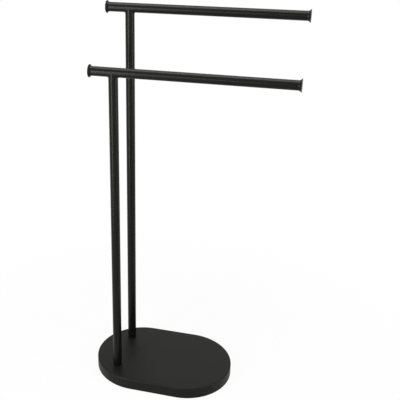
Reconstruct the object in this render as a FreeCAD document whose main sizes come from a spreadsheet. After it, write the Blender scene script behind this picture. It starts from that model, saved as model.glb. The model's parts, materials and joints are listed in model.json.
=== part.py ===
import FreeCAD, Part
import math
import os
import re

import Sketcher
from FreeCAD import Rotation, Vector

# Freestanding towel stand: two upright tubes on a weighted oval base, each
# carrying one horizontal bar, a lower one in front and a higher one behind.
#
# Frame: origin on the floor under the middle of the base, +X along the bars
# towards their long free end, -Y towards the front (lower) bar, +Z up.
# All sizes are in millimetres.

SIZES = {
    # tubes
    "tube_diameter": 20.0,
    "tube_wall": 1.5,
    "front_bar_height": 734.0,      # floor to bar axis
    "rear_bar_height": 846.5,
    "bar_short_reach": 51.0,        # post axis to the face of the near cap
    "bar_long_reach": 376.0,        # post axis to the face of the far cap
    "post_spacing": 118.0,          # front post axis to rear post axis
    "post_inset": 64.0,             # base's near end to the posts' plane
    # weld between a post and its bar
    "weld_leg": 4.0,
    "weld_toe_bite": 0.3,           # how far the weld's toes melt into the tubes
    # flared caps on the bars' ends
    "cap_rim_diameter": 27.0,
    "cap_rim_land": 1.2,
    "cap_rim_chamfer": 0.3,
    "cap_flare_length": 6.0,
    "cap_collar_length": 5.0,
    "cap_spigot_length": 14.0,
    "cap_spigot_chamfer": 1.0,
    "cap_play": 0.1,
    # drawn steel cover of the base
    "base_length": 325.0,
    "base_width": 218.0,
    "base_height": 27.0,
    "cover_wall": 1.5,
    "cover_rounding": 3.0,          # outside radius of the drawn top edge
    "cover_lift": 1.0,              # floor to the cover's lower rim
    # what closes the base from below
    "mat_thickness": 2.0,
    "mat_margin": 8.0,              # mat edge to the cover's inside
    "floor_plate_thickness": 2.5,
    "floor_plate_play": 0.5,
    # ballast cast to fill the cover
    "ballast_play": 0.4,
    "ballast_chamfer": 2.5,
    # steel strap under the cover's top that the posts are bolted to
    "strap_thickness": 5.0,
    "strap_width": 46.0,
    "strap_overrun": 23.0,          # bolt axis to the strap's end
    "strap_play": 0.5,
    # bolts that hold the posts, with their washers
    "bolt_diameter": 8.0,
    "bolt_length": 30.0,
    "bolt_head_diameter": 13.0,
    "bolt_head_height": 8.0,
    "bolt_socket_width": 6.0,       # across flats
    "bolt_socket_depth": 4.0,
    "bolt_chamfer": 0.8,
    "bolt_hole_play": 0.5,
    "thread_play": 0.05,
    "spring_washer_diameter": 14.8,
    "spring_washer_thickness": 2.0,
    "spring_washer_slit": 1.2,
    "flat_washer_diameter": 16.0,
    "flat_washer_thickness": 1.6,
    "washer_play": 0.2,
    "access_hole_diameter": 24.0,
    # threaded plugs in the feet of the posts
    "foot_plug_length": 25.0,
    "foot_plug_play": 0.1,
    "foot_plug_chamfer": 1.0,
    # screws of the floor plate and the bushes cast into the ballast
    "screw_diameter": 4.0,
    "screw_length": 10.0,
    "screw_head_diameter": 8.0,
    "screw_socket_width": 2.5,      # across flats
    "screw_socket_depth": 1.4,
    "screw_hole_play": 0.25,
    "screw_inset": 22.0,            # base outline to the screws' axes
    "bush_diameter": 7.0,
    "bush_length": 9.0,
    "bush_play": 0.1,
}

# Sizes that follow from the driving ones, written as formulas of the sheet.
COVER_UNDERSIDE = "base_height - cover_wall"
STRAP_UNDERSIDE = "base_height - cover_wall - strap_thickness"
BALLAST_UNDERSIDE = "mat_thickness + floor_plate_thickness"
BOLT_SEAT = STRAP_UNDERSIDE + " - flat_washer_thickness - spring_washer_thickness"
BOLT_HOLE = "bolt_diameter + 2 * bolt_hole_play"
WASHER_HOLE = "bolt_diameter + 2 * washer_play"
TUBE_BORE = "tube_diameter - 2 * tube_wall"
CAP_LENGTH = "cap_collar_length + cap_flare_length + cap_rim_land"
POST_PLANE = "-( base_length / 2 - post_inset )"

# The two uprights: name, place across the base and height of the bar's axis.
UPRIGHTS = (
    ("front", "-post_spacing / 2", "front_bar_height"),
    ("rear", "post_spacing / 2", "rear_bar_height"),
)

# The floor plate's screws, two on each long side.
SCREW_SPOTS = (
    ("( base_length - base_width ) / 2", "base_width / 2 - screw_inset"),
    ("( base_length - base_width ) / 2", "-( base_width / 2 - screw_inset )"),
    ("-( base_length - base_width ) / 2", "base_width / 2 - screw_inset"),
    ("-( base_length - base_width ) / 2", "-( base_width / 2 - screw_inset )"),
)

UP = Vector(0, 0, 1)

doc = FreeCAD.newDocument("TowelStand")
sheet = doc.addObject("Spreadsheet::Sheet", "Sizes")


def fill_sheet():
    """Write every driving size to the sheet, one aliased cell each."""
    for row, (name, value) in enumerate(SIZES.items(), start=1):
        sheet.set("A%d" % row, name)
        sheet.set("B%d" % row, str(value))
        sheet.setAlias("B%d" % row, name)
    doc.recompute()


def size(name):
    return float(sheet.get(name))


def bind(target, prop, formula):
    """Tie a property to a formula whose words are sizes of the sheet."""
    target.setExpression(prop, re.sub(r"[a-z]\w*_\w+", r"Sizes.\g<0>", formula))


# ---------------------------------------------------------------- sketching

def new_body(label):
    body = doc.addObject("PartDesign::Body", label)
    body.Label = label
    return body


def place(body, x="0", y="0", z="0"):
    """Bind a body's place in the stand."""
    bind(body, "Placement.Base.x", x)
    bind(body, "Placement.Base.y", y)
    bind(body, "Placement.Base.z", z)


def new_sketch(body, name, role="XY_Plane", height="0"):
    """Sketch on one of the body's own origin planes, raised along its normal."""
    plane = next(f for f in body.Origin.OriginFeatures if f.Role == role)
    sketch = body.newObject("Sketcher::SketchObject", name)
    sketch.AttachmentSupport = [(plane, "")]
    sketch.MapMode = "FlatFace"
    bind(sketch, "AttachmentOffset.Base.z", height)
    return sketch


def tie(sketch, kind, *refs):
    sketch.addConstraint(Sketcher.Constraint(kind, *refs))


def hold(sketch, kind, refs, formula):
    """Add a dimension and bind it to a formula."""
    index = sketch.addConstraint(Sketcher.Constraint(kind, *refs, 1.0))
    bind(sketch, "Constraints[%d]" % index, formula)


def hold_point(sketch, ref, x, y):
    """Hold a point at its distances from the sketch's origin. A formula that
    starts with a minus puts the point on the origin's other side."""
    for kind, axis, formula in (("DistanceX", -2, x), ("DistanceY", -1, y)):
        if formula == "0":
            tie(sketch, "PointOnObject", *ref, axis)
        elif formula.startswith("-"):
            hold(sketch, kind, (*ref, -1, 1), formula[1:])
        else:
            hold(sketch, kind, (-1, 1, *ref), formula)


def rough(formula):
    """Which side of the origin a formula lies on: -1, 0 or 1."""
    if formula == "0":
        return 0
    return -1 if formula.startswith("-") else 1


def add_circle(sketch, diameter, x="0", y="0"):
    start = Vector(rough(x), rough(y), 0)
    circle = sketch.addGeometry(Part.Circle(start, UP, 1.0))
    hold_point(sketch, (circle, 3), x, y)
    hold(sketch, "Diameter", (circle,), diameter)


def add_oval(sketch, length, width, inset="0", middle="0", along_y=False):
    """Oval of two straight sides and two round ends, drawn in by an inset.
    Its middle lies on the X axis; its length runs along X or along Y."""
    turn = math.pi / 2 if along_y else 0.0
    reach, radius = 60.0, 40.0
    centre = Vector(rough(middle), 0, 0)

    def spot(along, across):
        return centre + Rotation(UP, math.degrees(turn)).multVec(Vector(along, across, 0))

    def round_end(side):
        begin = turn - side * math.pi / 2
        return Part.ArcOfCircle(Part.Circle(spot(side * reach, 0), UP, radius),
                                begin, begin + math.pi)

    ids = [sketch.addGeometry(piece) for piece in (
        round_end(1),
        Part.LineSegment(spot(reach, radius), spot(-reach, radius)),
        round_end(-1),
        Part.LineSegment(spot(-reach, -radius), spot(reach, -radius)))]
    for step, this in enumerate(ids):
        tie(sketch, "Tangent", this, 2, ids[(step + 1) % 4], 1)
    right, _, left, _ = ids
    tie(sketch, "Equal", right, left)
    hold(sketch, "Radius", (right,), "( %s ) / 2 - ( %s )" % (width, inset))
    hold(sketch, "Distance", (right, 3, left, 3), "( %s ) - ( %s )" % (length, width))
    if along_y:
        key = sketch.addGeometry(Part.Point(centre), True)
        hold_point(sketch, (key, 1), middle, "0")
        tie(sketch, "Symmetric", right, 3, left, 3, key, 1)
        tie(sketch, "Vertical", right, 3, left, 3)
    else:
        tie(sketch, "Symmetric", right, 3, left, 3, -1, 1)
        tie(sketch, "PointOnObject", right, 3, -1)


def add_base_outline(sketch, inset="0"):
    add_oval(sketch, "base_length", "base_width", inset)


def add_outline(sketch, corners, bow=None):
    """Closed outline through corners given as pairs of formulas. The side
    after corner number bow is an arc that leaves the side before it smoothly."""
    count = len(corners)
    spots = [Vector(math.cos(2 * math.pi * i / count), math.sin(2 * math.pi * i / count), 0)
             for i in range(count)]
    sides = {i: sketch.addGeometry(Part.LineSegment(spots[i], spots[(i + 1) % count]))
             for i in range(count) if i != bow}
    for i, side in sides.items():
        hold_point(sketch, (side, 1), *corners[i])
        following = (i + 1) % count
        if following == bow:
            hold_point(sketch, (side, 2), *corners[bow])
        else:
            tie(sketch, "Coincident", side, 2, sides[following], 1)
    if bow is not None:
        add_bow(sketch, sides[bow - 1], sides[bow + 1])


def add_bow(sketch, before, after):
    """Join two solved sides by an arc that is tangent to the first one."""
    doc.recompute()
    incoming = sketch.Geometry[before]
    start, end = incoming.EndPoint, sketch.Geometry[after].StartPoint
    along = (start - incoming.StartPoint).normalize()
    chord = end - start
    inward = chord - along * chord.dot(along)
    centre = start + inward.normalize() * (chord.dot(chord) / (2 * chord.dot(inward)))
    middle = centre + (start + chord / 2 - centre).normalize() * (start - centre).Length
    arc = sketch.addGeometry(Part.Arc(start, middle, end))
    first, last = (1, 2) if sketch.Geometry[arc].StartPoint.isEqual(start, 1e-6) else (2, 1)
    tie(sketch, "Tangent", before, 2, arc, first)
    tie(sketch, "Coincident", arc, last, after, 1)


def add_hexagon(sketch, across_flats):
    """Regular hexagon about the origin, two of its corners on the X axis."""
    spots = [Vector(math.cos(i * math.pi / 3), math.sin(i * math.pi / 3), 0) for i in range(6)]
    sides = [sketch.addGeometry(Part.LineSegment(spots[i], spots[(i + 1) % 6])) for i in range(6)]
    rim = sketch.addGeometry(Part.Circle(Vector(), UP, 1.0), True)
    tie(sketch, "Coincident", rim, 3, -1, 1)
    tie(sketch, "PointOnObject", sides[0], 1, -1)
    for i, side in enumerate(sides):
        tie(sketch, "Coincident", side, 2, sides[(i + 1) % 6], 1)
        tie(sketch, "PointOnObject", side, 1, rim)
        if i > 0:
            tie(sketch, "Equal", sides[0], side)
    hold(sketch, "Radius", (rim,), across_flats + " / sqrt(3)")


# ----------------------------------------------------------------- features

def pad(body, sketch, length):
    feature = body.newObject("PartDesign::Pad", "Pad")
    feature.Profile = sketch
    bind(feature, "Length", length)
    doc.recompute()
    return feature


def pocket(body, sketch, depth=None, upwards=True, both_sides=False):
    """Cut a sketch's shape out, right through where no depth is given."""
    before = body.Shape.Volume
    feature = body.newObject("PartDesign::Pocket", "Pocket")
    feature.Profile = sketch
    feature.Reversed = upwards
    if both_sides:
        feature.Midplane = True
    if depth is None:
        feature.Type = "ThroughAll"
    else:
        bind(feature, "Length", depth)
    doc.recompute()
    if not body.Shape.Volume < before:
        raise RuntimeError("%s: a pocket removes nothing" % body.Label)
    return feature


def revolve(body, sketch, axis):
    feature = body.newObject("PartDesign::Revolution", "Revolution")
    feature.Profile = sketch
    feature.ReferenceAxis = (sketch, [axis])
    feature.Angle = 360.0
    doc.recompute()
    return feature


def treat_edges(kind, body, base, chosen, amount):
    """Fillet or chamfer those edges of a feature that a test picks out."""
    names = ["Edge%d" % (i + 1) for i, edge in enumerate(base.Shape.Edges) if chosen(edge)]
    feature = body.newObject("PartDesign::" + kind, kind)
    feature.Base = (base, names)
    bind(feature, "Radius" if kind == "Fillet" else "Size", amount)
    doc.recompute()
    return feature


def lies_at(edge, height):
    """True for an edge that lies whole in the horizontal plane at a height."""
    box = edge.BoundBox
    return abs(box.ZMin - height) < 1e-4 and abs(box.ZMax - height) < 1e-4


def is_round(edge, radius):
    return isinstance(edge.Curve, Part.Circle) and abs(edge.Curve.Radius - radius) < 1e-4


# ------------------------------------------------------------------ the base

def add_post_holes(sketch, diameter):
    for _, across, _ in UPRIGHTS:
        add_circle(sketch, diameter, POST_PLANE, across)


def make_base_cover():
    """Drawn steel shell, open below: rounded top edge and two bolt holes. The
    inside of the top edge is a plain chamfer."""
    body = new_body("base_cover")
    outline = new_sketch(body, "Outline", height="cover_lift")
    add_base_outline(outline)
    block = pad(body, outline, "base_height - cover_lift")
    top = size("base_height")
    treat_edges("Fillet", body, block, lambda edge: lies_at(edge, top), "cover_rounding")

    hollow = new_sketch(body, "Hollow", height="cover_lift")
    add_base_outline(hollow, "cover_wall")
    shell = pocket(body, hollow, COVER_UNDERSIDE + " - cover_lift")
    ceiling = top - size("cover_wall")
    treat_edges("Chamfer", body, shell, lambda edge: lies_at(edge, ceiling),
                "cover_rounding - cover_wall")

    holes = new_sketch(body, "BoltHoles", height="cover_lift")
    add_post_holes(holes, BOLT_HOLE)
    pocket(body, holes)


def make_mounting_strap():
    """Flat steel strap under the cover's top, which both posts are bolted to."""
    body = new_body("mounting_strap")
    outline = new_sketch(body, "Outline")
    add_oval(outline, "post_spacing + 2 * strap_overrun", "strap_width", along_y=True)
    for _, across, _ in UPRIGHTS:
        add_circle(outline, BOLT_HOLE, "0", across)
    pad(body, outline, "strap_thickness")
    place(body, x=POST_PLANE, z=STRAP_UNDERSIDE)


def make_ballast_block():
    """Cast slab that fills the cover, with a bed for the strap, two wells for
    the bolts and a socket for each threaded bush."""
    body = new_body("ballast_block")
    outline = new_sketch(body, "Outline", height=BALLAST_UNDERSIDE)
    add_base_outline(outline, "cover_wall + ballast_play")
    slab = pad(body, outline, COVER_UNDERSIDE + " - ( " + BALLAST_UNDERSIDE + " )")
    top = size("base_height") - size("cover_wall")
    treat_edges("Chamfer", body, slab, lambda edge: lies_at(edge, top), "ballast_chamfer")

    bed = new_sketch(body, "StrapBed", height=COVER_UNDERSIDE)
    add_oval(bed, "post_spacing + 2 * strap_overrun + 2 * strap_play",
             "strap_width + 2 * strap_play", middle=POST_PLANE, along_y=True)
    pocket(body, bed, "strap_thickness", upwards=False)

    wells = new_sketch(body, "BoltWells", height=BALLAST_UNDERSIDE)
    add_post_holes(wells, "access_hole_diameter")
    pocket(body, wells)

    sockets = new_sketch(body, "BushSockets", height=BALLAST_UNDERSIDE)
    for x, y in SCREW_SPOTS:
        add_circle(sockets, "bush_diameter + 2 * bush_play", x, y)
    pocket(body, sockets, "bush_length")


def make_floor_plate():
    """Sheet that closes the base, with countersinks for its screws. Returns
    the places of the screws' axes."""
    body = new_body("floor_plate")
    outline = new_sketch(body, "Outline", height="mat_thickness")
    add_base_outline(outline, "cover_wall + floor_plate_play")
    add_post_holes(outline, "access_hole_diameter")
    pad(body, outline, "floor_plate_thickness")

    holes = new_sketch(body, "ScrewHoles", height="mat_thickness")
    for x, y in SCREW_SPOTS:
        add_circle(holes, "screw_diameter + 2 * screw_hole_play", x, y)
    plate = pocket(body, holes)
    bottom = size("mat_thickness")
    hole_radius = size("screw_diameter") / 2 + size("screw_hole_play")
    treat_edges("Chamfer", body, plate,
                lambda edge: lies_at(edge, bottom) and is_round(edge, hole_radius),
                "( screw_head_diameter - screw_diameter ) / 2 - screw_hole_play")
    return [circle.Center for circle in holes.Geometry]


def make_floor_mat():
    """Thin anti-slip mat under the floor plate, which also hides the screws."""
    body = new_body("floor_mat")
    outline = new_sketch(body, "Outline")
    add_base_outline(outline, "cover_wall + mat_margin")
    add_post_holes(outline, "access_hole_diameter")
    pad(body, outline, "mat_thickness")


def make_floor_plate_screws(spots):
    """Countersunk screws with hexagon sockets, heads flush with the plate."""
    body = new_body("screw_pattern")
    head, shank = "screw_head_diameter / 2", "screw_diameter / 2"
    profile = new_sketch(body, "Profile", role="XZ_Plane")
    add_outline(profile, [
        ("0", "0"),
        (head, "0"),
        (shank, head + " - " + shank),
        (shank, "screw_length"),
        ("0", "screw_length"),
    ])
    revolve(body, profile, "V_Axis")
    drive = new_sketch(body, "Drive")
    add_hexagon(drive, "screw_socket_width")
    pocket(body, drive, "screw_socket_depth")
    repeat(body, "floor_plate_screws", spots, size("mat_thickness"))


def make_ballast_bushes(spots):
    """Threaded bushes cast into the ballast's underside."""
    body = new_body("bush_pattern")
    ring = new_sketch(body, "Ring")
    add_circle(ring, "bush_diameter")
    add_circle(ring, "screw_diameter + 2 * thread_play")
    pad(body, ring, "bush_length")
    repeat(body, "ballast_bushes", spots, size("mat_thickness") + size("floor_plate_thickness"))


def repeat(pattern, label, spots, height):
    """One group of separate solids: a pattern body's copies at its spots."""
    group = doc.addObject("Part::Feature", label)
    group.Label = label
    group.Shape = Part.makeCompound(
        [pattern.Shape.translated(Vector(spot.x, spot.y, height)) for spot in spots])


# -------------------------------------------------- posts and their fastening

def make_post(name, across, bar_height):
    """Tube that stands on the cover, its top coped to straddle the bar."""
    body = new_body(name + "_post")
    section = new_sketch(body, "Section")
    add_circle(section, "tube_diameter")
    add_circle(section, TUBE_BORE)
    pad(body, section, bar_height + " - base_height")
    cope = new_sketch(body, "Cope", role="YZ_Plane")
    add_circle(cope, "tube_diameter", "0", bar_height + " - base_height")
    pocket(body, cope, both_sides=True)
    place(body, x=POST_PLANE, y=across, z="base_height")


def make_foot_plug(name, across):
    """Turned plug, welded flush into the post's foot and tapped for the bolt."""
    body = new_body(name + "_foot_plug")
    inner = "bolt_diameter / 2 + thread_play"
    outer = "tube_diameter / 2 - tube_wall - foot_plug_play"
    profile = new_sketch(body, "Profile", role="XZ_Plane")
    add_outline(profile, [
        (inner, "0"),
        (outer, "0"),
        (outer, "foot_plug_length - foot_plug_chamfer"),
        (outer + " - foot_plug_chamfer", "foot_plug_length"),
        (inner, "foot_plug_length"),
    ])
    revolve(body, profile, "V_Axis")
    place(body, x=POST_PLANE, y=across, z="base_height")


def make_bolt(name, across):
    """Socket-head bolt, driven up from below through washers and strap."""
    body = new_body(name + "_post_bolt")
    head, shank = "bolt_head_diameter / 2", "bolt_diameter / 2"
    profile = new_sketch(body, "Profile", role="XZ_Plane")
    add_outline(profile, [
        ("0", "-bolt_head_height"),
        (head + " - bolt_chamfer", "-bolt_head_height"),
        (head, "-( bolt_head_height - bolt_chamfer )"),
        (head, "0"),
        (shank, "0"),
        (shank, "bolt_length - bolt_chamfer"),
        (shank + " - bolt_chamfer", "bolt_length"),
        ("0", "bolt_length"),
    ])
    revolve(body, profile, "V_Axis")
    drive = new_sketch(body, "Drive", height="-bolt_head_height")
    add_hexagon(drive, "bolt_socket_width")
    pocket(body, drive, "bolt_socket_depth")
    place(body, x=POST_PLANE, y=across, z=BOLT_SEAT)


def make_spring_washer(name, across):
    """Split ring between the bolt's head and the flat washer."""
    body = new_body(name + "_spring_washer")
    ring = new_sketch(body, "Ring")
    add_circle(ring, "spring_washer_diameter")
    add_circle(ring, WASHER_HOLE)
    pad(body, ring, "spring_washer_thickness")
    slit = new_sketch(body, "Slit")
    half = "spring_washer_slit / 2"
    add_outline(slit, [
        ("0", "-" + half),
        ("spring_washer_diameter", "-" + half),
        ("spring_washer_diameter", half),
        ("0", half),
    ])
    pocket(body, slit)
    place(body, x=POST_PLANE, y=across, z=BOLT_SEAT)


def make_flat_washer(name, across):
    body = new_body(name + "_flat_washer")
    ring = new_sketch(body, "Ring")
    add_circle(ring, "flat_washer_diameter")
    add_circle(ring, WASHER_HOLE)
    pad(body, ring, "flat_washer_thickness")
    place(body, x=POST_PLANE, y=across, z=BOLT_SEAT + " + spring_washer_thickness")


# -------------------------------------------------------------- bars and caps

def make_bar(name, across, bar_height):
    """Straight tube between the collars of its two end caps."""
    body = new_body(name + "_bar")
    section = new_sketch(body, "Section", role="YZ_Plane",
                         height="-( bar_short_reach - ( " + CAP_LENGTH + " ) )")
    add_circle(section, "tube_diameter")
    add_circle(section, TUBE_BORE)
    pad(body, section, "bar_short_reach + bar_long_reach - 2 * ( " + CAP_LENGTH + " )")
    place(body, x=POST_PLANE, y=across, z=bar_height)


def make_end_cap(name, across, bar_height, reach, near_end):
    """Turned cap: a spigot in the tube, then a collar as wide as the tube that
    flares like a trumpet to a thin rim."""
    body = new_body(name)
    tube, rim = "tube_diameter / 2", "cap_rim_diameter / 2"
    spigot = tube + " - tube_wall - cap_play"
    corners = [
        ("-cap_spigot_length", "0"),
        ("-cap_spigot_length", spigot + " - cap_spigot_chamfer"),
        ("-( cap_spigot_length - cap_spigot_chamfer )", spigot),
        ("0", spigot),
        ("0", tube),
        ("cap_collar_length", tube),
        ("cap_collar_length + cap_flare_length", rim),
        (CAP_LENGTH, rim),
        (CAP_LENGTH, "0"),
    ]
    profile = new_sketch(body, "Profile", role="XZ_Plane")
    add_outline(profile, corners, bow=corners.index(("cap_collar_length", tube)))
    turned = revolve(body, profile, "H_Axis")
    rim_radius = size("cap_rim_diameter") / 2
    treat_edges("Chamfer", body, turned, lambda edge: is_round(edge, rim_radius),
                "cap_rim_chamfer")
    side = "-" if near_end else ""
    place(body, POST_PLANE + " + %s( %s - ( %s ) )" % (side, reach, CAP_LENGTH), across, bar_height)
    body.Placement.Rotation = Rotation(UP, 180 if near_end else 0)


def weld_section(angle, radius, leg, bite):
    """Section of a weld bead, square to the base's depth: a hollow arc between
    its toe on the post and its toe on the bar, closed by a root in the metal.
    The angle goes round the post from 0, under the bar, towards 90, beside it.
    """
    shrink = math.cos(angle)
    y = (radius - bite) * math.sin(angle)

    def spot(x, z):
        return Vector(shrink * x, y, shrink * z)

    hollow = (radius + leg) - (leg + bite) * math.sqrt(0.5)
    post_toe = spot(radius - bite, -(radius + leg))
    bar_toe = spot(radius + leg, -(radius - bite))
    root = spot(radius - 2 * bite, -(radius - 2 * bite))
    return Part.Wire([
        Part.Arc(post_toe, spot(hollow, -hollow), bar_toe).toShape(),
        Part.makeLine(bar_toe, root),
        Part.makeLine(root, post_toe)])


def make_joint_weld(name, across, bar_height):
    """Weld on both sides of a post under its bar, dressed to a hollow fillet.
    It dies out where the two equal tubes run into one another, in front and
    behind."""
    radius, leg, bite = size("tube_diameter") / 2, size("weld_leg"), size("weld_toe_bite")
    angles = [math.radians(degrees) for degrees in range(-80, 81, 20)]
    bead = Part.makeLoft([weld_section(angle, radius, leg, bite) for angle in angles], True)
    reach = 2 * (radius + leg)
    post = Part.makeCylinder(radius, reach, Vector(0, 0, -reach), UP)
    bar = Part.makeCylinder(radius, 2 * reach, Vector(-reach, 0, 0), Vector(1, 0, 0))
    bead = bead.cut(post).cut(bar)
    twin = bead.mirror(Vector(), Vector(1, 0, 0))
    weld = doc.addObject("Part::Feature", name + "_joint_weld")
    weld.Label = name + "_joint_weld"
    weld.Shape = Part.makeCompound([*bead.Solids, *twin.Solids])
    place(weld, POST_PLANE, across, bar_height)


# ------------------------------------------------------------ build and write

def build():
    fill_sheet()
    make_base_cover()
    make_mounting_strap()
    make_ballast_block()
    spots = make_floor_plate()
    make_floor_mat()
    make_floor_plate_screws(spots)
    make_ballast_bushes(spots)
    for name, across, bar_height in UPRIGHTS:
        make_post(name, across, bar_height)
        make_foot_plug(name, across)
        make_bolt(name, across)
        make_spring_washer(name, across)
        make_flat_washer(name, across)
        make_bar(name, across, bar_height)
        make_end_cap(name + "_bar_near_cap", across, bar_height, "bar_short_reach", True)
        make_end_cap(name + "_bar_far_cap", across, bar_height, "bar_long_reach", False)
        make_joint_weld(name, across, bar_height)
    doc.recompute()


def is_a_piece(item):
    return (item.TypeId in ("PartDesign::Body", "Part::Feature")
            and not item.Label.endswith("_pattern"))


def check(items):
    """Stop before anything is written if an object or a piece has failed."""
    for item in doc.Objects:
        if "Invalid" in item.State or "Error" in item.State:
            raise RuntimeError("%s has failed: %s" % (item.Label, item.State))
        if item.TypeId == "Sketcher::SketchObject" and item.solve() != 0:
            raise RuntimeError("%s is not solved" % item.Label)
    for item in items:
        if item.Shape.isNull() or not item.Shape.isValid():
            raise RuntimeError("%s has no valid shape" % item.Label)


def write(items):
    os.makedirs("parts", exist_ok=True)
    for item in items:
        item.Shape.exportStep("parts/%s.step" % item.Label)
        print("%-26s %2d solid(s) %12.1f mm3" % (item.Label, len(item.Shape.Solids), item.Shape.Volume))


build()
pieces = [item for item in doc.Objects if is_a_piece(item)]
check(pieces)
write(pieces)
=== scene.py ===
import json
import math

import bmesh
import bpy
from mathutils import Matrix, Vector
from mathutils.geometry import delaunay_2d_cdt


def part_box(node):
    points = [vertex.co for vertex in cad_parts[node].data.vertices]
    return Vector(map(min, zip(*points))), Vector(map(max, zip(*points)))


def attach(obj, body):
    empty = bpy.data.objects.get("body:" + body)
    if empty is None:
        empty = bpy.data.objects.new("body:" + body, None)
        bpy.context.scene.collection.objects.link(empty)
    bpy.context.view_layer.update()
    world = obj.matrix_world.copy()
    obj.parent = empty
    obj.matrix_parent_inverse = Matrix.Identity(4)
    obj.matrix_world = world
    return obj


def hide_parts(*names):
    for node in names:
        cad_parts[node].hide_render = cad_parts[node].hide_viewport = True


# Freestanding towel stand in black powder coat on a white floor. The packed
# part gives every place and size; the shown tubes, caps, welds and cover are
# built here again with finer surfaces. All lengths are in metres.

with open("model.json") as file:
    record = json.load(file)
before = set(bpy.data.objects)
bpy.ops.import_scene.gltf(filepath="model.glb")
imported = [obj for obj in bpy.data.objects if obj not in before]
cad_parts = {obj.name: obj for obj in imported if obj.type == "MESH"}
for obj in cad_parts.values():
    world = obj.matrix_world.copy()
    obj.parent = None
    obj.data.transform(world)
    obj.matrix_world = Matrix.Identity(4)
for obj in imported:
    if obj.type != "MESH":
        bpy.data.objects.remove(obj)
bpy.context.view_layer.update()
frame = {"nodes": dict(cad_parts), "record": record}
scene = bpy.context.scene

NOISE_LOW, NOISE_HIGH = 0.3, 0.7        # a noise texture's values mostly lie between
WARM_GLOSS = (1.0, 1.0, 0.9, 1.0)       # the coat's sheen, a little yellow in the photo


# ---------------------------------------------------------------- materials

class Shader:
    """A node material, with short ways to add and join its nodes."""

    def __init__(self, name):
        self.material = bpy.data.materials.new(name)
        self.material.use_nodes = True
        self.tree = self.material.node_tree
        self.principled = self.tree.nodes["Principled BSDF"]
        self.coordinates = self.add("ShaderNodeTexCoord").outputs["Object"]

    def add(self, kind, **settings):
        node = self.tree.nodes.new(kind)
        for key, value in settings.items():
            setattr(node, key, value)
        return node

    def join(self, output, target):
        self.tree.links.new(output, target)

    def noise(self, scale, detail=2.0, roughness=0.5, coordinates=None):
        node = self.add("ShaderNodeTexNoise")
        node.inputs["Scale"].default_value = scale
        node.inputs["Detail"].default_value = detail
        node.inputs["Roughness"].default_value = roughness
        self.join(coordinates or self.coordinates, node.inputs["Vector"])
        return node.outputs["Fac"]

    def stretched(self, *scales):
        """Object coordinates stretched along the axes, for a grain."""
        node = self.add("ShaderNodeMapping")
        node.inputs["Scale"].default_value = scales
        self.join(self.coordinates, node.inputs["Vector"])
        return node.outputs["Vector"]

    def blend(self, noise, low, high):
        """Colour that a noise spreads between two."""
        node = self.add("ShaderNodeValToRGB")
        first, last = node.color_ramp.elements
        first.position, first.color = NOISE_LOW, (*low, 1.0)
        last.position, last.color = NOISE_HIGH, (*high, 1.0)
        self.join(noise, node.inputs["Fac"])
        return node.outputs["Color"]

    def spread(self, noise, low, high):
        """Number that a noise spreads between two."""
        node = self.add("ShaderNodeMapRange")
        node.inputs["From Min"].default_value = NOISE_LOW
        node.inputs["From Max"].default_value = NOISE_HIGH
        node.inputs["To Min"].default_value = low
        node.inputs["To Max"].default_value = high
        self.join(noise, node.inputs["Value"])
        return node.outputs["Result"]

    def bump(self, height, depth, under=None):
        node = self.add("ShaderNodeBump")
        node.inputs["Distance"].default_value = depth
        self.join(height, node.inputs["Height"])
        if under is not None:
            self.join(under, node.inputs["Normal"])
        return node.outputs["Normal"]

    def finish(self, colour, roughness, normal, **constants):
        self.join(colour, self.principled.inputs["Base Color"])
        self.join(roughness, self.principled.inputs["Roughness"])
        self.join(normal, self.principled.inputs["Normal"])
        for key, value in constants.items():
            self.principled.inputs[key].default_value = value
        return self.material


def black_powder_coat(name="black_powder_coat", low=0.28, high=0.37, ior=1.23):
    """Baked black powder, its roughness between low and high: orange peel one
    to two millimetres across, over a slower wave of the film's thickness."""
    s = Shader(name)
    peel = s.noise(650.0, 3.0, 0.55)
    wave = s.noise(120.0)
    film = s.noise(9.0, 4.0, 0.6)
    colour = s.blend(film, (0.0030, 0.0030, 0.0027), (0.0046, 0.0046, 0.0041))
    roughness = s.spread(peel, low, high)
    normal = s.bump(wave, 0.00003, under=s.bump(peel, 0.000022))
    return s.finish(colour, roughness, normal, IOR=ior, **{"Specular Tint": WARM_GLOSS})


def zinc_plated_steel():
    s = Shader("zinc_plated_steel")
    grain = s.noise(700.0, 4.0, 0.6, s.stretched(1.0, 1.0, 6.0))
    cloud = s.noise(60.0, 3.0)
    colour = s.blend(cloud, (0.50, 0.51, 0.53), (0.62, 0.63, 0.64))
    roughness = s.spread(grain, 0.26, 0.44)
    normal = s.bump(grain, 0.00001)
    return s.finish(colour, roughness, normal, Metallic=1.0, Anisotropic=0.3)


def cast_concrete():
    s = Shader("cast_concrete")
    grit = s.noise(800.0, 6.0, 0.7)
    cloud = s.noise(45.0, 4.0)
    colour = s.blend(cloud, (0.23, 0.22, 0.21), (0.34, 0.33, 0.31))
    roughness = s.spread(grit, 0.78, 0.95)
    normal = s.bump(cloud, 0.0004, under=s.bump(grit, 0.0001))
    return s.finish(colour, roughness, normal)


def brass():
    s = Shader("brass")
    grain = s.noise(900.0, 3.0, 0.6, s.stretched(1.0, 1.0, 8.0))
    cloud = s.noise(90.0)
    colour = s.blend(cloud, (0.62, 0.44, 0.18), (0.74, 0.55, 0.26))
    roughness = s.spread(grain, 0.22, 0.40)
    normal = s.bump(grain, 0.00001)
    return s.finish(colour, roughness, normal, Metallic=1.0)


def mat_rubber():
    """Sponge rubber sheet with a fine closed grain."""
    s = Shader("mat_rubber")
    pores = s.noise(1500.0, 4.0, 0.7)
    cloud = s.noise(30.0, 3.0)
    colour = s.blend(cloud, (0.018, 0.018, 0.018), (0.032, 0.032, 0.032))
    roughness = s.spread(pores, 0.72, 0.92)
    normal = s.bump(pores, 0.00008)
    return s.finish(colour, roughness, normal)


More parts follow.
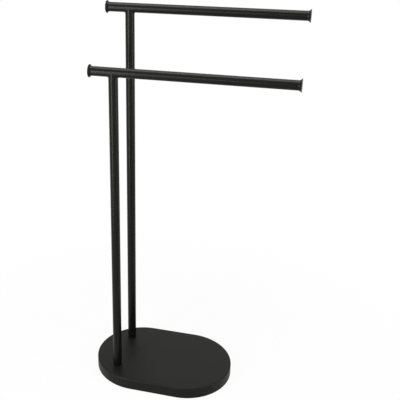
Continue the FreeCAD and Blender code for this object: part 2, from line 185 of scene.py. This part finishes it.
MATERIALS = {make.__name__: make() for make in
             (black_powder_coat, zinc_plated_steel, cast_concrete, brass, mat_rubber)}
# In the photo the same coat has less gloss on the base than on the tubes. The
# piece keeps the slot of the record all the same.
DULLER = {"base_cover": black_powder_coat("cover_powder_coat", 0.46, 0.56, 1.24)}


# ------------------------------------------------------------------- meshes

SHARP = math.radians(35)                                # edges above it stay hard
TURNS = [2 * math.pi * i / 96 for i in range(96)]       # round a tube or a hole
HALF_TURN = [math.pi * i / 96 for i in range(97)]
INSIDE, CLOSE = 1, 1e-8         # Delaunay: triangles inside the edges, points this near are one


def soften(corners, steps=5):
    """Outline through corners (x, y, cut), each one rounded by an arc that
    leaves its sides at the distance cut from it."""
    line = [Vector(corners[0][:2])]
    for before, (x, y, cut), after in zip(corners, corners[1:], corners[2:]):
        corner = Vector((x, y))
        if cut == 0:
            line.append(corner)
            continue
        back = (Vector(before[:2]) - corner).normalized()
        ahead = (Vector(after[:2]) - corner).normalized()
        pull = math.cos((math.pi - back.angle(ahead)) / 2)
        for step in range(steps + 1):
            t = step / steps
            a, b, c = (1 - t) ** 2, 2 * t * (1 - t) * pull, t ** 2
            line.append(corner + (back * a + ahead * c) * (cut / (a + b + c)))
    line.append(Vector(corners[-1][:2]))
    return line


def bridge(bm, rings, closed=False):
    """Skin rings of points, one after another, and return their vertices."""
    made = [[bm.verts.new(spot) for spot in ring] for ring in rings]
    pairs = list(zip(made, made[1:])) + ([(made[-1], made[0])] if closed else [])
    for a, b in pairs:
        for i in range(len(a)):
            k = (i + 1) % len(a)
            bm.faces.new((a[i], a[k], b[k], b[i]))
    return made


def fill(bm, rim, holes):
    """Fill the level face inside a rim of vertices, round the holes in it."""
    spots, home, edges = [], [], []
    for loop in (rim, *holes):
        first = len(spots)
        edges += [(first + i, first + (i + 1) % len(loop)) for i in range(len(loop))]
        home += [first] * len(loop)
        spots += loop
    points = [Vector(vert.co[:2]) for vert in spots]
    _, _, triangles, sources, _, _ = delaunay_2d_cdt(points, edges, [], INSIDE, CLOSE)
    for triangle in triangles:
        corners = [sources[k][0] for k in triangle]
        homes = {home[k] for k in corners}
        if len(homes) > 1 or 0 in homes:        # else it lies in a hole
            bm.faces.new([spots[k] for k in corners])


def add_piece(bm, node):
    """Make the piece that stands for a CAD node, with that node's finish."""
    bmesh.ops.remove_doubles(bm, verts=bm.verts, dist=1e-7)
    bmesh.ops.recalc_face_normals(bm, faces=bm.faces)
    for face in bm.faces:
        face.smooth = True
    for edge in bm.edges:
        if len(edge.link_faces) == 2 and edge.calc_face_angle() > SHARP:
            edge.smooth = False
    mesh = bpy.data.meshes.new(node + "_fine")
    bm.to_mesh(mesh)
    bm.free()
    piece = bpy.data.objects.new(mesh.name, mesh)
    scene.collection.objects.link(piece)
    even = piece.modifiers.new("even_normals", "WEIGHTED_NORMAL")
    even.keep_sharp = True
    finish_piece(piece, node)
    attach(piece, "root")
    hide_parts(node)


def finish_piece(piece, node):
    """Give a piece the slot that the record names for a node, and its material."""
    row = next(r for r in frame["record"]["subparts"] if r["node"] == node)
    slot = row["material_slot"]
    piece.data.materials.clear()
    piece.data.materials.append(DULLER.get(node, MATERIALS[slot]))


# ------------------------------------------------------- tubes, caps, welds

WALL = 0.0015                   # of the tubes and the cover
EDGE = 0.00025                  # broken edge of cut metal
LAND = 0.0012                   # a cap's rim, along the bar
FLARE, FLARE_STEPS = 0.006, 12
COLLAR = 0.005
RIM_ROUND = 0.0003
SPIGOT_PLAY, SPIGOT_ROUND = 0.0001, 0.001
LEG, BITE = 0.004, 0.0003       # the joint weld's leg, and its toes in the metal


def round_bar(bm, axis, section, closed=False):
    """Skin a section of points (x, radius) round a level axis along X."""
    bridge(bm, [[Vector((x, axis.y + r * math.cos(t), axis.z + r * math.sin(t))) for t in TURNS]
                for x, r in section], closed)


def add_bar(name):
    """Tube along X, its ends broken, so that a fine groove shows at each cap."""
    low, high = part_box(name + "_bar")
    radius = (high.z - low.z) / 2
    axis = (low + high) / 2
    bore = radius - WALL
    bm = bmesh.new()
    round_bar(bm, axis, soften([
        (low.x, bore, 0), (low.x, radius, EDGE), (high.x, radius, EDGE), (high.x, bore, 0)]), True)
    add_piece(bm, name + "_bar")
    return axis, radius


def add_cap(node, axis, tube):
    """Turned cap: spigot, collar, flare that opens along an arc, rounded rim."""
    low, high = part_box(node)
    rim = (high.z - low.z) / 2
    face, tip = (low.x, high.x) if low.x < axis.x else (high.x, low.x)
    out = 1 if face > tip else -1
    step = rim - tube
    bow = (FLARE ** 2 + step ** 2) / (2 * step)
    start = face - out * (LAND + FLARE)
    swings = [math.asin(FLARE / bow) * i / FLARE_STEPS for i in range(FLARE_STEPS)]
    curve = [(start + out * bow * math.sin(swing), tube + bow * (1 - math.cos(swing)), 0)
             for swing in swings]
    spigot = tube - WALL - SPIGOT_PLAY
    bm = bmesh.new()
    round_bar(bm, axis, soften([
        (tip, 0, 0), (tip, spigot, SPIGOT_ROUND), (start - out * COLLAR, spigot, 0),
        (start - out * COLLAR, tube, EDGE), *curve, (face - out * LAND, rim, RIM_ROUND),
        (face, rim, RIM_ROUND), (face, 0, 0)]))
    add_piece(bm, node)


def add_post(name, axis, radius):
    """Tube from the cover up, its top coped round the underside of the bar."""
    low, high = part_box(name + "_post")
    x, y = (low.x + high.x) / 2, (low.y + high.y) / 2
    bore = radius - WALL

    def ring(r, height_at):
        return [Vector((x + r * math.cos(t), y + r * math.sin(t), height_at(r * math.sin(t))))
                for t in TURNS]

    def cope(across):
        return axis.z - math.sqrt(max(0, radius ** 2 - across ** 2))

    foot = soften([(bore, low.z, 0), (radius, low.z, EDGE), (radius, low.z + 4 * EDGE, 0)])
    bm = bmesh.new()
    bridge(bm, [ring(r, lambda across, z=z: z) for r, z in foot]
           + [ring(radius, cope), ring(bore, cope)], closed=True)
    add_piece(bm, name + "_post")
    return x, y


def add_weld(name, axis, radius, x, y):
    """Hollow fillet on both sides of the post, under the bar."""
    reach, depth = radius + LEG, LEG + BITE
    hollow = [(reach - depth * math.cos(a), reach - depth * math.sin(a))
              for a in (math.radians(degrees) for degrees in range(0, 91, 6))]
    root = radius - 2 * BITE
    bm = bmesh.new()
    for side in (1, -1):
        bridge(bm, [[Vector((x + side * out * math.cos(turn),
                             y + (radius - BITE) * math.sin(turn),
                             axis.z - down * math.cos(turn)))
                     for out, down in (*hollow, (root, root))]
                    for turn in (math.radians(degrees) for degrees in range(-90, 91, 5))])
    add_piece(bm, name + "_joint_weld")


# ---------------------------------------------------------------- the base

COVER_ROUND = 0.003
CEILING_ROUND = 0.0015
FLAT_FROM = 0.004               # outline to where the cover's top is flat
BOLT_HOLE_RADIUS = 0.0045


def oval(length, width, inset, height):
    """Points round the base's outline, drawn in by an inset."""
    radius, reach = width / 2 - inset, (length - width) / 2
    end = [Vector((reach + radius * math.sin(t), -radius * math.cos(t), height))
           for t in HALF_TURN]
    return end + [Vector((-spot.x, -spot.y, height)) for spot in end]


def add_cover(posts):
    """Drawn shell: rounded edge all round, open below, a hole under each post."""
    low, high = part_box("base_cover")
    length, width = high.x - low.x, high.y - low.y
    ceiling = high.z - WALL
    section = soften([
        (FLAT_FROM, high.z, 0), (0, high.z, COVER_ROUND), (0, low.z, EDGE), (WALL, low.z, EDGE),
        (WALL, ceiling, CEILING_ROUND), (FLAT_FROM, ceiling, 0)], 8)
    bm = bmesh.new()
    rings = bridge(bm, [oval(length, width, inset, z) for inset, z in section])
    holes = [bridge(bm, [[Vector((x + BOLT_HOLE_RADIUS * math.cos(t),
                                  y + BOLT_HOLE_RADIUS * math.sin(t), z)) for t in TURNS]
                         for z in (high.z, ceiling)])
             for x, y in posts]
    fill(bm, rings[0], [hole[0] for hole in holes])
    fill(bm, rings[-1], [hole[1] for hole in holes])
    add_piece(bm, "base_cover")


for node, piece in frame["nodes"].items():
    finish_piece(piece, node)
posts = []
for upright in ("front", "rear"):
    bar_axis, tube_radius = add_bar(upright)
    add_cap(upright + "_bar_near_cap", bar_axis, tube_radius)
    add_cap(upright + "_bar_far_cap", bar_axis, tube_radius)
    posts.append(add_post(upright, bar_axis, tube_radius))
    add_weld(upright, bar_axis, tube_radius, *posts[-1])
add_cover(posts)


# ------------------------------------------------------ floor, light, camera

FLOOR_REACH = 8.0
SOFT_LIGHT = 0.17               # the world's strength on the stand
PHOTO = 400                     # the photo's pixels each way


def seen(tree):
    """1 for what the camera sees, also in gloss and through glass, else 0."""
    path = tree.nodes.new("ShaderNodeLightPath")
    total = path.outputs["Is Camera Ray"]
    for kind in ("Is Glossy Ray", "Is Transmission Ray"):
        larger = tree.nodes.new("ShaderNodeMath")
        larger.operation = "MAXIMUM"
        tree.links.new(total, larger.inputs[0])
        tree.links.new(path.outputs[kind], larger.inputs[1])
        total = larger.outputs[0]
    return total


def add_floor():
    """White floor that fades to pure white away from the stand's shadow."""
    mesh = bpy.data.meshes.new("floor")
    corners = [(x * FLOOR_REACH, y * FLOOR_REACH, 0)
               for x, y in ((-1, -1), (1, -1), (1, 1), (-1, 1))]
    mesh.from_pydata(corners, [], [(0, 1, 2, 3)])
    floor = bpy.data.objects.new("floor", mesh)
    scene.collection.objects.link(floor)
    s = Shader("white_floor")
    away = s.add("ShaderNodeVectorMath", operation="LENGTH")
    s.join(s.coordinates, away.inputs[0])
    fade = s.add("ShaderNodeMapRange", interpolation_type="SMOOTHSTEP")
    s.join(away.outputs["Value"], fade.inputs["Value"])
    # Up to 0.3 m away it shows its shadow, and from 0.8 m on it is white.
    for key, value in (("From Min", 0.3), ("From Max", 0.8), ("To Min", 0.94), ("To Max", 1.0)):
        fade.inputs[key].default_value = value
    share = s.add("ShaderNodeMath", operation="MULTIPLY")
    s.join(seen(s.tree), share.inputs[0])
    s.join(fade.outputs["Result"], share.inputs[1])
    pale = s.blend(s.noise(60.0, 3.0), (0.78, 0.78, 0.78), (0.82, 0.82, 0.82))
    s.join(pale, s.principled.inputs["Base Color"])
    s.principled.inputs["Roughness"].default_value = 0.9
    mix = s.add("ShaderNodeMixShader")
    s.join(share.outputs[0], mix.inputs["Fac"])
    s.join(s.principled.outputs[0], mix.inputs[1])
    s.join(s.add("ShaderNodeEmission").outputs[0], mix.inputs[2])
    s.join(mix.outputs[0], s.tree.nodes["Material Output"].inputs["Surface"])
    mesh.materials.append(s.material)


def add_world():
    """White to the camera, and a soft even light on the stand."""
    world = bpy.data.worlds.new("white_studio")
    scene.world = world
    world.use_nodes = True
    tree = world.node_tree
    level = tree.nodes.new("ShaderNodeMapRange")
    level.inputs["To Min"].default_value = SOFT_LIGHT
    tree.links.new(seen(tree), level.inputs["Value"])
    background = tree.nodes["Background"]
    background.inputs["Color"].default_value = (1, 1, 1, 1)
    tree.links.new(level.outputs["Result"], background.inputs["Strength"])


def add_lamp(name, spot, target, width, height, watts):
    light = bpy.data.lights.new(name, "AREA")
    light.shape = "RECTANGLE"
    light.size, light.size_y = width, height
    light.energy = watts
    lamp = bpy.data.objects.new(name, light)
    scene.collection.objects.link(lamp)
    lamp.location = spot
    lamp.rotation_euler = (Vector(target) - Vector(spot)).to_track_quat("-Z", "Y").to_euler()
    lamp.visible_camera = False


def add_camera():
    """The photo's camera, found by fitting the stand's points to the photo.
    Its axis meets the photo at axis_x and axis_y, and its focal length is
    given in the photo's pixels too."""
    spot = (0.34442, -1.3730, 1.06073)
    yaw, pitch, roll = 0.2614, 0.3742, 0.0071
    focal, axis_x, axis_y = 697.76, 156.09, 172.64
    data = bpy.data.cameras.new("camera")
    camera = bpy.data.objects.new("camera", data)
    scene.collection.objects.link(camera)
    level = math.cos(pitch)
    ahead = Vector((-math.sin(yaw) * level, math.cos(yaw) * level, -math.sin(pitch)))
    right = Vector((math.cos(yaw), math.sin(yaw), 0))
    up = right.cross(ahead)
    side = right * math.cos(roll) + up * math.sin(roll)
    top = up * math.cos(roll) - right * math.sin(roll)
    turn = Matrix((side, top, -ahead)).transposed()
    camera.matrix_world = Matrix.Translation(spot) @ turn.to_4x4()
    data.sensor_width = 36.0
    data.lens = focal / PHOTO * data.sensor_width
    data.shift_x = 0.5 - axis_x / PHOTO
    data.shift_y = axis_y / PHOTO - 0.5
    scene.camera = camera


scene.view_settings.view_transform = "Standard"
add_floor()
add_world()
# Together they light a grey of 0.5 so that it renders about as it is written.
# The low lamp behind gives the base's top its sheen. The strips draw the long
# highlights on the tubes, the front one on the bars.
add_lamp("overhead", (-0.08, 0.03, 1.55), (-0.08, 0.0, 0.8), 0.9, 0.42, 10)
add_lamp("back_sheen", (0.0, 2.4, 1.95), (0.0, 0.0, 0.03), 2.4, 0.9, 6)
add_lamp("left_strip", (-0.64, -1.02, 0.57), (-0.1, -0.06, 0.57), 0.12, 1.1, 11)
add_lamp("front_strip", (-0.55, -1.45, 0.80), (0.0, -0.06, 0.78), 1.00, 0.36, 8)
add_lamp("right_strip", (1.08, -0.18, 0.70), (-0.1, -0.06, 0.70), 0.12, 0.9, 6)
add_camera()
